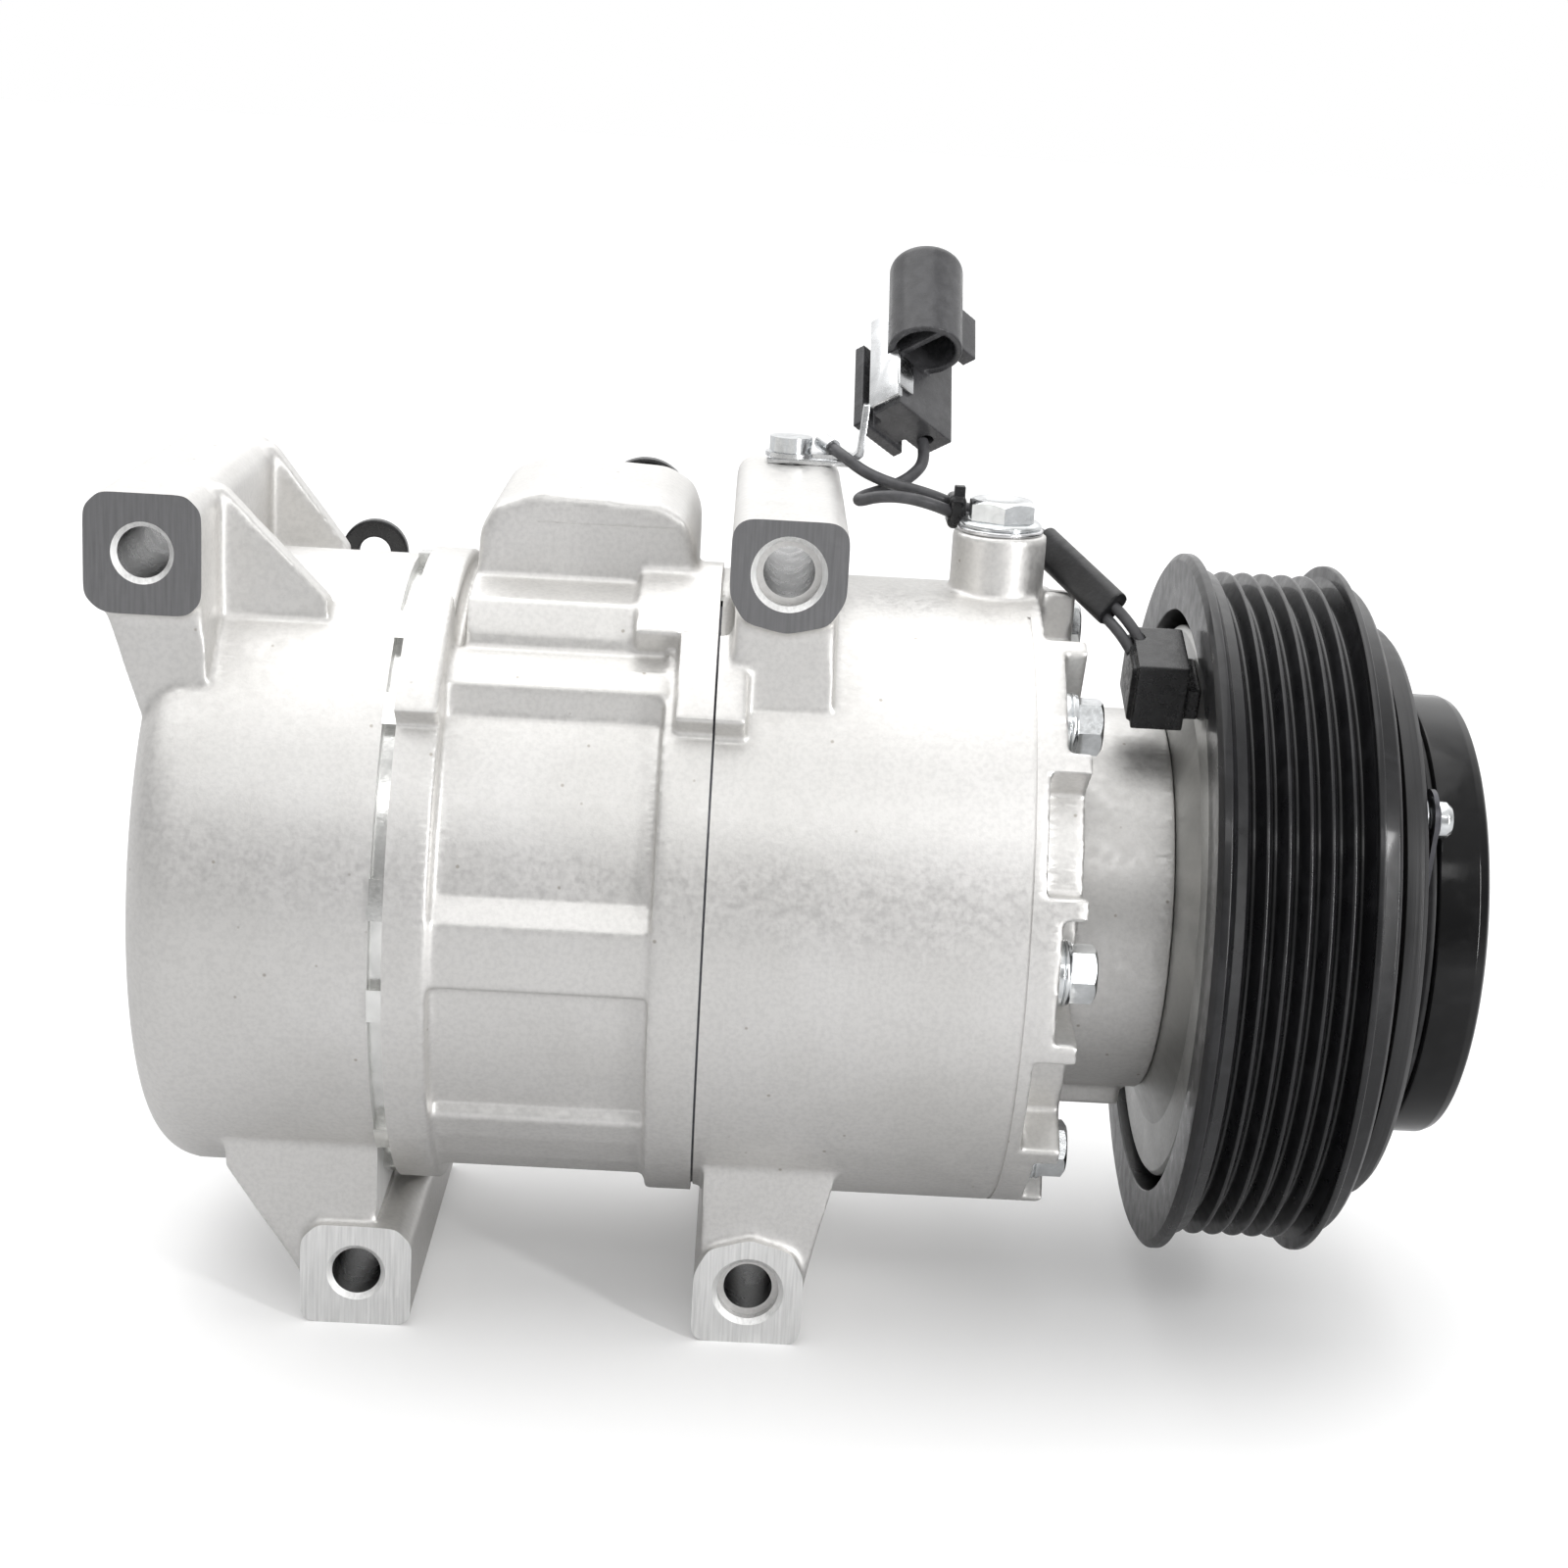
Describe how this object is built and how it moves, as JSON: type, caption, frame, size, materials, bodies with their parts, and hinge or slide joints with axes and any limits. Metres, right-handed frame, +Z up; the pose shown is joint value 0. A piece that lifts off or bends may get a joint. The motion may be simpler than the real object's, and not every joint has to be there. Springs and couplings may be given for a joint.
{
  "type": "compressor",
  "caption": "Swash-plate car air-conditioning compressor with black ribbed clutch pulley, cast aluminium housings, four mounting ears and a clutch lead with connector.",
  "frame": {"origin": "on the shaft axis, in the middle plane of the belt track", "axes": "+X along the shaft towards the clutch, +Y away from the side with the machined ear faces, +Z up from the lower ears to the upper ears"},
  "size_m": [0.2365, 0.1272, 0.1858],
  "materials": {
    "cast_aluminium": "as-cast, light warm grey, machined at ear faces",
    "machined_aluminium": "machined",
    "bolt_steel": "bright zinc plated",
    "gasket_steel": "bright sheet",
    "drive_steel": "ground",
    "spring_steel": "oil-blacked sheet",
    "plug_copper": "soft copper washer",
    "valve_brass": "turned",
    "clutch_paint": "semi-gloss black",
    "hub_paint": "satin black",
    "coil_zinc": "zinc-grey coat",
    "coil_resin": "potted resin",
    "black_plastic": "moulded, satin",
    "lead_insulation": "soft sleeve",
    "seal_rubber": "moulded",
    "contact_tin": "tinned contact"
  },
  "bodies": {
    "housing": {"rear_housing": "cast_aluminium", "cylinder_block": "cast_aluminium", "front_housing": "cast_aluminium", "pistons": "machined_aluminium", "through_bolts": "bolt_steel", "bolt_washers": "bolt_steel", "oil_plug": "bolt_steel", "ground_screw": "bolt_steel", "ground_terminal": "bolt_steel", "connector_bracket": "bolt_steel", "relief_valve": "bolt_steel", "rear_gasket": "gasket_steel", "valve_plate": "gasket_steel", "suction_reed_plate": "gasket_steel", "discharge_reed_plate": "gasket_steel", "reed_retainer": "gasket_steel", "mid_gasket": "gasket_steel", "piston_shoes": "drive_steel", "front_radial_bearing": "drive_steel", "front_thrust_bearing": "drive_steel", "rear_radial_bearing": "drive_steel", "rear_thrust_bearing": "drive_steel", "bearing_inner_race": "drive_steel", "seal_snap_ring": "spring_steel", "valve_snap_ring": "spring_steel", "bearing_snap_ring": "spring_steel", "plug_washer": "plug_copper", "control_valve": "valve_brass", "coil_shell": "coil_zinc", "coil_winding": "coil_resin", "coil_terminal_box": "black_plastic", "connector_housing": "black_plastic", "cable_clip": "black_plastic", "suction_port_cap": "black_plastic", "discharge_port_cap": "black_plastic", "coil_lead": "lead_insulation", "ground_lead": "lead_insulation", "box_leads": "lead_insulation", "lead_sleeve": "lead_insulation", "shaft_seal": "seal_rubber", "valve_seals": "seal_rubber", "bearing_shields": "seal_rubber", "connector_pin": "contact_tin"},
    "pulley": {"pulley": "clutch_paint", "bearing_outer_race": "drive_steel", "bearing_balls": "drive_steel"},
    "shaft": {"drive_shaft": "drive_steel", "lug_plate": "drive_steel", "swash_plate": "drive_steel", "hinge_pin": "drive_steel", "destroke_spring": "spring_steel", "clutch_hub": "hub_paint", "hub_cover": "clutch_paint", "hub_nut": "bolt_steel", "hub_washer": "bolt_steel", "gap_shims": "drive_steel", "hub_rivets": "bolt_steel", "leaf_springs": "spring_steel"},
    "armature": {"armature_plate": "clutch_paint", "armature_rivets": "bolt_steel"}
  },
  "joints": [
    {"name": "pulley_spin", "type": "hinge", "parent": "housing", "child": "pulley", "pos_m": [0, 0, 0], "axis": [1, 0, 0], "continuous": true},
    {"name": "shaft_spin", "type": "hinge", "parent": "housing", "child": "shaft", "pos_m": [0, 0, 0], "axis": [1, 0, 0], "continuous": true},
    {"name": "armature_engage", "type": "slide", "parent": "shaft", "child": "armature", "axis": [-1, 0, 0], "range_m": [0, 0.0004], "stiffness_N_per_m": 20000}
  ]
}
